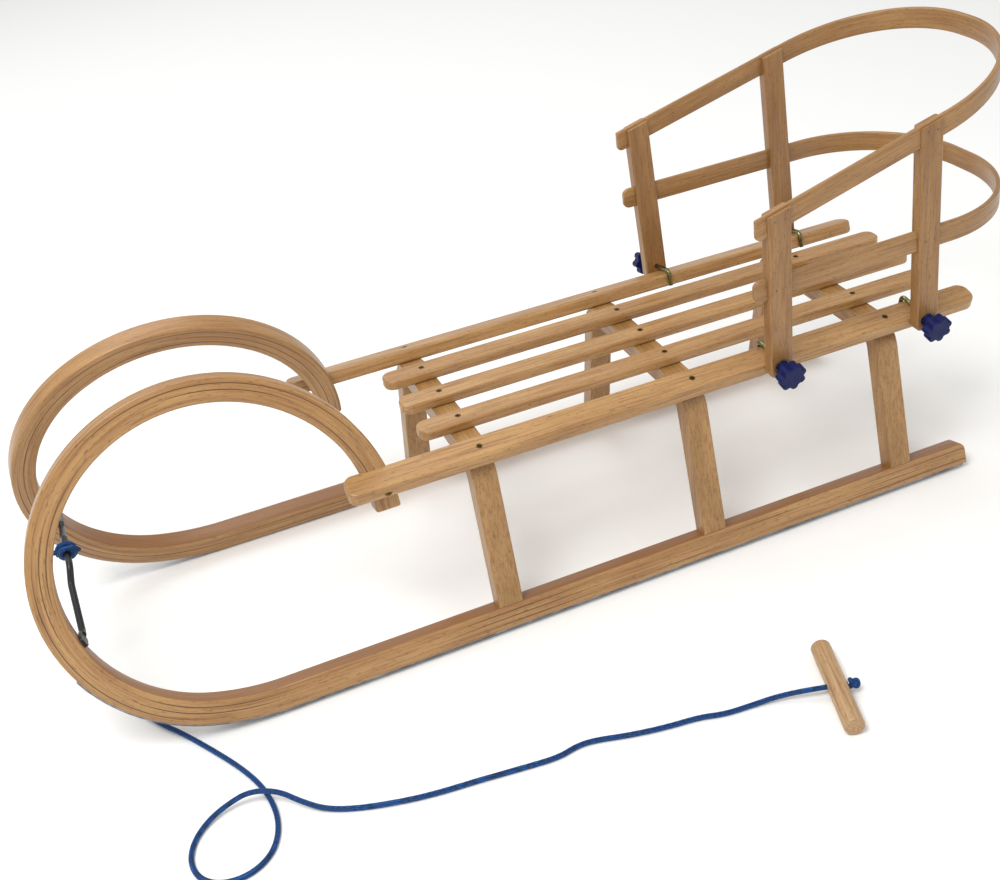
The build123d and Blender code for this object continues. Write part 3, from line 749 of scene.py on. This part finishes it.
@dataclass
class BackrestHoop:
    """A steam-bent strip that runs round the child's back, upright in section."""

    name: str
    node: str
    front_y: float
    back_y: float
    back_x: float
    corner: float
    top: float
    rise: float
    front: float = 217
    height: float = 28.8 * MM
    thickness: float = 6 * MM
    end_round: float = 9 * MM
    edge_round: float = 1.8 * MM
    face_round: float = 1.2 * MM
    square_top: bool = False
    corner_steps: int = 60
    end_sections: int = 10
    straight_step: float = 12 * MM
    grain_apart: float = 1.7        # times the rise, sets the two hoops' figures apart

    def plan(self) -> tuple[Array, Array]:
        """Middle line seen from above: two sides, two arcs and the back between them.

        Each arc's points are its centre plus the radius times the cosine and sine of the angle.

        Returns:
            Distances along and points, from the right-hand end to the left-hand one.
        """
        front = np.array([sledge_x(self.front), -self.front_y])
        back = np.array([sledge_x(self.back_x), -self.back_y])
        side = (back - front) / np.linalg.norm(back - front)
        heading = math.atan2(side[1], side[0]) % (2 * math.pi)
        turn = heading - math.pi / 2
        reach = self.corner * math.tan(turn / 2)
        leave = back - side * reach
        centre = leave + self.corner * np.array([side[1], -side[0]])
        angle = np.linspace(0, turn, self.corner_steps)
        first = math.atan2(*(leave - centre)[::-1])
        arc = centre + self.corner * np.stack([np.cos(first - angle), np.sin(first - angle)], 1)
        length = np.linalg.norm(leave - front)
        run = end_steps(length * 2, self.end_round, self.end_sections,
                        np.arange(0, length, self.straight_step))
        run = run[run < length - 2 * MM]
        half = np.concatenate([front + side * run[:, None], arc])
        other = half[::-1] * np.array([1, -1])
        points = np.concatenate([half, other])
        along = np.concatenate([[0.0], np.cumsum(np.linalg.norm(np.diff(points, axis=0), axis=1))])
        return along, points

    def build(self) -> bpy.types.Object:
        """Carries the strip's section round the plan.

        A point is the plan's plus its share of the thickness along the line's left-hand side. Its height
        is the top edge, a plane that rises to the back, less its share of the strip's height.

        Returns:
            The hoop.
        """
        along, points = self.plan()
        tangent = np.gradient(points, axis=0)
        tangent /= np.linalg.norm(tangent, axis=1, keepdims=True)
        normal = np.stack([-tangent[:, 1], tangent[:, 0]], 1)
        section = rounded_rectangle(self.thickness, self.height, self.edge_round)
        left = np.minimum(along, along[-1] - along)
        inset = end_inset(left, self.end_round)
        thin = end_inset(left, self.face_round)
        across = section[None, :, 0] * (1 - 2 * thin / self.thickness)[:, None]
        share = 0.5 - section[None, :, 1] / self.height
        raised = section[None, :, 1] * (1 - 2 * inset / self.height)[:, None]
        if self.square_top:
            raised = section[None, :, 1] + share * inset[:, None] - (1 - share) * thin[:, None]
        flat = points[:, None] + across[..., None] * normal[:, None]
        top = self.top + self.rise * (sledge_x(self.front) - flat[..., 0])
        grid = np.concatenate([flat, (top - self.height / 2 + raised)[..., None]], -1)
        grain = np.stack([along[:, None] + 0 * across + self.grain_apart * self.rise, raised, across], -1)
        return solid(self.name, grid, grain)


@dataclass
class PullRope:
    """Blue braided rope: a hitch on the front brace, one loose loop on the ground, then its handle."""

    diameter: float = 6 * MM
    length: float = 1.53
    strands: int = 8
    lay: float = 16 * MM            # coarser than a real braid, so that it shows
    ridge: float = 0.10
    rope_points: int = 20           # points round the rope, and round its knots
    knot_points: int = 14
    hitch_share: float = 0.95       # pulled tight, so a little slimmer
    stopper_share: float = 0.9
    route: tuple[Point, ...] = (
        (634.2, -2, 187.5), (647.5, -2, 188.5), (659.3, -1, 182.5), (664.8, 0.6, 171.5),
        (665, 2, 157), (662.5, 2, 126), (663.5, 4.5, 84), (660.5, 4, 50),
        (660, 7, 27), (656.5, 14, 12.5), (649.5, 24, 3.6), (636, 41, 3),
        (617, 66, 3), (596, 98, 3), (575.5, 135.5, 3), (557.5, 160, 3),
        (539, 189.5, 3), (521.5, 219, 3), (504.5, 250, 3), (491, 281.5, 3),
        (483.5, 313.5, 3), (483.5, 347, 3), (493.5, 376, 3), (511.5, 394, 3),
        (535.5, 401.5, 3), (560.5, 396.5, 3), (577.5, 379, 3), (581.5, 353, 3),
        (572, 328.5, 3), (552.5, 309.5, 4.5), (528, 301.5, 9), (503, 302.5, 16),
        (475, 317, 16), (455.5, 336, 8.5), (432.5, 355, 3), (398, 371.5, 3),
        (350, 385, 3), (314, 391.5, 3), (270, 396, 3), (222, 402.5, 3),
        (181, 407.5, 3), (157, 402, 3), (136, 403.5, 3), (98, 415.5, 3),
        (56, 424.5, 3), (17, 429, 3), (-11, 438.5, 3), (-43, 441, 3),
        (-76, 446.5, 6.5), (-112.5, 460.8, 12), (-149.3, 472.2, 12))

    def line(self) -> Array:
        """The rope's middle line: a smooth NURBS curve of order 3 over the route.

        Returns:
            Points along the curve.
        """
        curve = bpy.data.curves.new("rope_route", "CURVE")
        curve.dimensions = "3D"
        curve.resolution_u = 24
        spline = curve.splines.new("NURBS")
        spline.points.add(len(self.route) - 1)
        placed = np.ones((len(self.route), 4))
        placed[:, :3] = np.array(self.route) * MM
        spline.points.foreach_set("co", placed.ravel())
        spline.order_u = 3
        spline.use_endpoint_u = True
        holder = bpy.data.objects.new("rope_route", curve)
        bpy.context.scene.collection.objects.link(holder)
        bpy.context.view_layer.update()
        graph = bpy.context.evaluated_depsgraph_get()
        mesh = bpy.data.meshes.new_from_object(holder.evaluated_get(graph))
        points = np.empty(len(mesh.vertices) * 3)
        mesh.vertices.foreach_get("co", points)
        bpy.data.objects.remove(holder)
        bpy.data.meshes.remove(mesh)
        return points.reshape(-1, 3)

    def hitch(self) -> Array:
        """Line of the hitch: three turns round the brace, the middle one crossing over, and two free ends.

        A point is the brace's middle plus a radius times the cosine and sine of the turn. The radius swells
        by a smooth hump at the crossing turn and grows with the three-halves power of the distance past
        the first and last turn, where the ends stand off. The place along the brace is a smooth step.

        Returns:
            Points along the line.
        """
        wound, end, points = 3, 0.3, 300            # turns, each free end in turns, points
        snug, crossing, stand_off = 6.9, 4.2, 45    # radii in millimetres
        reach, wander = 6.4, 1.6                    # millimetres along the brace
        hump_width, steepness, start = 0.34, 2.2, 1.2
        low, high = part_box("brace_knot")
        middle = np.array([(low.x + high.x) / 2, 0.0, (low.z + high.z) / 2])
        turns = np.linspace(-end, wound + end, points)
        free = np.maximum(0, -turns) + np.maximum(0, turns - wound)
        past_middle = turns - wound / 2
        hump = np.exp(-(past_middle / hump_width) ** 2)
        radius = (snug + crossing * hump + stand_off * free ** 1.5) * MM
        place = (reach * np.tanh(past_middle * steepness) + wander * np.sin(2 * math.pi * turns)) * MM
        angle = 2 * math.pi * turns + start
        return middle + np.stack([radius * np.cos(angle), place, radius * np.sin(angle)], 1)

    def stopper(self) -> Array:
        """Line of the stopper knot: a trefoil, the sums of sines and cosines of one and two turns.

        Returns:
            Points along the line, closed.
        """
        points, height, scale = 160, 1.5, 1.75      # scale in millimetres
        low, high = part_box("handle_knot")
        middle = (np.array(low) + np.array(high)) / 2
        t = np.linspace(0, 2 * math.pi, points)
        knot = np.stack([np.sin(t) + 2 * np.sin(2 * t), np.cos(t) - 2 * np.cos(2 * t),
                         -height * np.sin(3 * t)], 1)
        return middle + knot * scale * MM

    def build(self) -> None:
        """Makes the rope, its hitch and the stopper knot."""
        # Crown, strand and gap colours: the crown is painted highlight, the gap painted shade.
        blue = BraidedCord("braided_polypropylene_cord", "1C74BE", "05468E", "021833").make()
        radius = self.diameter / 2
        braid = (self.strands, self.lay, self.ridge)
        points = self.line()
        rope = cord_mesh("pull_rope_braid", points, radius, self.rope_points, *braid)
        settle(rope, "sledge", "rope_blue", blue, "pull_rope")
        hitch = cord_mesh("brace_hitch", self.hitch(), radius * self.hitch_share, self.knot_points, *braid)
        settle(hitch, "sledge", "rope_blue", blue, "brace_knot")
        knot = cord_mesh("stopper_knot", self.stopper(), radius * self.stopper_share, self.knot_points,
                         *braid)
        settle(knot, "sledge", "rope_blue", blue, "handle_knot")


@dataclass
class Sledge:
    """Frame and seat: runners, shoes, arches, side rails, slats, brace and their screws."""

    ply: float = 7.5 * MM
    sides: list[str] = field(default_factory=lambda: list(SIDES))

    def build(self) -> None:
        """Makes the runners and dresses everything on the sledge itself."""
        thickness = HornRunner("left").height
        for side in self.sides:
            # Laminated beech: four plies that follow the bend, with thin dark glue lines and painted shade
            # along the top face.
            wood = Beech(f"laminated_beech_{side}", Fibres.FOLLOWING, ply=self.ply,
                         thickness=thickness).make()
            settle(HornRunner(side).build(), "sledge", "beech", wood, f"runner_{side}")
        # Bent beech in the shade of the seat: the same figure, a little darker.
        dress_nodes(["front_arch", "middle_arch", "rear_arch"],
                    Beech("bent_beech_arches", Fibres.ARCHED, light="AA814D", middle="96703C").make())
        # Sawn and planed beech: straight figure along each board, different on each.
        for count, name in enumerate(["side_rail_left", "side_rail_right", "slat_left", "slat_middle",
                                      "slat_right"]):
            dress_nodes([name], Beech(f"beech_{name}", Fibres.LENGTHWAYS, shift=1.3 * count).make())
        # Rolled steel: a dull grey sheen in broad patches.
        dress_nodes(["shoe_left", "shoe_right"],
                    Metal("rolled_steel", "9A9A9C", "66666A", 0.42, 18 * MM).make())
        # Yellow passivated steel: a brownish brass tint, glinting on the heads.
        dress_nodes(["seat_screws", "horn_screws", "shoe_screws", "leg_screws", "brace_screws"],
                    Metal("yellow_passivated_screws", "7A6238", "4A3A22", 0.38, 2 * MM).make())
        # Black enamel: nearly black, with soft highlights along the rod.
        dress_nodes(["front_brace"],
                    Coating("black_enamel", "0C0E10", "1A1D21", 0.42, 1.2 * MM, 0.1).make())
        # Turned beech: paler than the frame, its figure along the handle.
        handle = Beech("turned_beech_handle", Fibres.HANDLE, light="B9976C", middle="A88459",
                       heading=math.radians(72.7))
        dress_nodes(["rope_handle"], handle.make())


def corners(kind: str) -> list[str]:
    """Names of the four nodes of one kind, front pair first and left before right.

    Args:
        kind: what stands at each corner of the backrest.

    Returns:
        The names.
    """
    return [f"{place}_{kind}_{side}" for place in ("front", "rear") for side in SIDES]


@dataclass
class Backrest:
    """Posts, hoops and clamps that hold a small child on the seat."""

    upper: BackrestHoop = field(default_factory=lambda: BackrestHoop(
        "upper_hoop_strip", "upper_hoop", 181.5 * MM, 177 * MM, -223.5, 170 * MM, 457.5 * MM, 0.267,
        square_top=True))
    lower: BackrestHoop = field(default_factory=lambda: BackrestHoop(
        "lower_hoop_strip", "lower_hoop", 174.5 * MM, 171.5 * MM, -231.5, 158 * MM, 373.5 * MM, 0.014))

    def build(self) -> None:
        """Makes the hoops and dresses the posts and clamps."""
        # Bent beech strip: its figure follows the bend, a little darker than the seat as painted shade.
        bent = Beech("bent_beech_strip", Fibres.FOLLOWING, light="A57C49", middle="916A3A").make()
        for hoop in (self.upper, self.lower):
            settle(hoop.build(), "backrest", "beech", bent, hoop.node)
        # Upright beech: straight figure up each post, different on each, and darker than the seat as painted
        # shade.
        for count, name in enumerate(corners("post")):
            dress_nodes([name], Beech(f"beech_{name}", Fibres.UPRIGHT, shift=0.9 * count,
                                      light="9E7544", middle="8A6336").make())
        # Bright drawn steel: small cool glints on the nail heads.
        dress_nodes(["hoop_nails"], Metal("bright_nails", "8C8578", "5A5448", 0.35, 1.5 * MM).make())
        # Zinc plate: pale, faintly warm and fairly sharp in its reflections.
        dress_nodes(["knob_washers"], Metal("zinc_washers", "B8B4A4", "86826E", 0.3, 3 * MM).make())
        # Yellow passivated bolts: a greenish brass tint, with patches.
        dress_nodes(corners("hook_bolt"),
                    Metal("yellow_passivated_bolts", "9A9468", "5C5A34", 0.3, 4 * MM).make())
        # Moulded plastic: deep navy, with a soft low gloss from its fine grit.
        dress_nodes(corners("knob"),
                    Coating("moulded_navy_plastic", "04104A", "081653", 0.5, 0.7 * MM, 0.0,
                            gloss=0.25).make())


# ---------------------------------------------------------------- stage

@dataclass
class Studio:
    """Pale floor, soft lights and the camera."""

    eye: Point = (0.5355, 1.4385, 1.1304)
    right: Point = (-0.9187, 0.3801, -0.10731)
    down: Point = (0.26547, 0.3931, -0.88034)
    ahead: Point = (-0.29243, -0.83726, -0.46204)
    lens: float = 48.74
    shift: tuple[float, float] = (-0.0089, -0.1314)
    sensor: float = 36
    clip: tuple[float, float] = (0.05, 60)
    reach: float = 14.0             # half the floor's side
    floor_gap: float = 0.2 * MM
    aim: Point = (0, 0, 0.2)        # where the lamps look
    lamps: tuple[tuple[str, Point, float, float], ...] = (      # name, place, side and watts
        ("key", (1.3, 1.0, 2.8), 1.4, 62),
        ("fill", (-2.2, 2.4, 1.6), 2.4, 10),
        ("back", (0.6, -2.6, 3.4), 3.0, 45))
    sky: float = 0.66

    def floor(self) -> None:
        """A large flat square just under the shoes."""
        half = self.reach
        mesh = bpy.data.meshes.new("floor")
        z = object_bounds()[0].z - self.floor_gap
        mesh.from_pydata([(-half, -half, z), (half, -half, z), (half, half, z), (-half, half, z)], [],
                         [(0, 1, 2, 3)])
        piece = bpy.data.objects.new("floor", mesh)
        bpy.context.scene.collection.objects.link(piece)
        # Matt paper: an even, nearly white ground with no highlight.
        material, _, shader = start_material("pale_paper_floor")
        shader.inputs["Base Color"].default_value = linear("F6F6F4")
        shader.inputs["Roughness"].default_value = 0.95
        shader.inputs["Specular IOR Level"].default_value = 0.1
        dress(piece, material)
        piece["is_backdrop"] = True

    def light(self, name: str, place: Point, size: float, power: float) -> None:
        """A square soft light that looks at the sledge's middle.

        Args:
            name: the light's name.
            place: where it stands.
            size: side of the square.
            power: watts.
        """
        data = bpy.data.lights.new(name, "AREA")
        data.size, data.energy = size, power
        lamp = bpy.data.objects.new(name, data)
        bpy.context.scene.collection.objects.link(lamp)
        back = Vector(place) - Vector(self.aim)
        lamp.location = place
        lamp.rotation_euler = back.to_track_quat("Z", "Y").to_euler()

    def camera(self) -> None:
        """The camera, its axes given as right, down and ahead."""
        data = bpy.data.cameras.new("camera")
        data.sensor_width, data.lens = self.sensor, self.lens
        data.shift_x, data.shift_y = self.shift
        data.clip_start, data.clip_end = self.clip
        eye = bpy.data.objects.new("camera", data)
        bpy.context.scene.collection.objects.link(eye)
        columns = [self.right, [-k for k in self.down], [-k for k in self.ahead]]
        turn = Matrix([[columns[c][r] for c in range(3)] for r in range(3)]).to_4x4()
        eye.matrix_world = Matrix.Translation(self.eye) @ turn
        bpy.context.scene.camera = eye

    def build(self) -> None:
        """Sets the stage."""
        self.floor()
        for lamp in self.lamps:
            self.light(*lamp)
        world = bpy.data.worlds.new("studio")
        world.use_nodes = True
        background = world.node_tree.nodes["Background"]
        background.inputs["Color"].default_value = linear("FFFFFF")
        background.inputs["Strength"].default_value = self.sky
        bpy.context.scene.world = world
        bpy.context.scene.view_settings.view_transform = "Standard"
        self.camera()


def main() -> None:
    """Builds every sub-assembly in order."""
    logging.basicConfig(level=logging.INFO, format="%(name)s: %(message)s")
    Sledge().build()
    PullRope().build()
    Backrest().build()
    Studio().build()


if __name__ == "__main__":
    main()
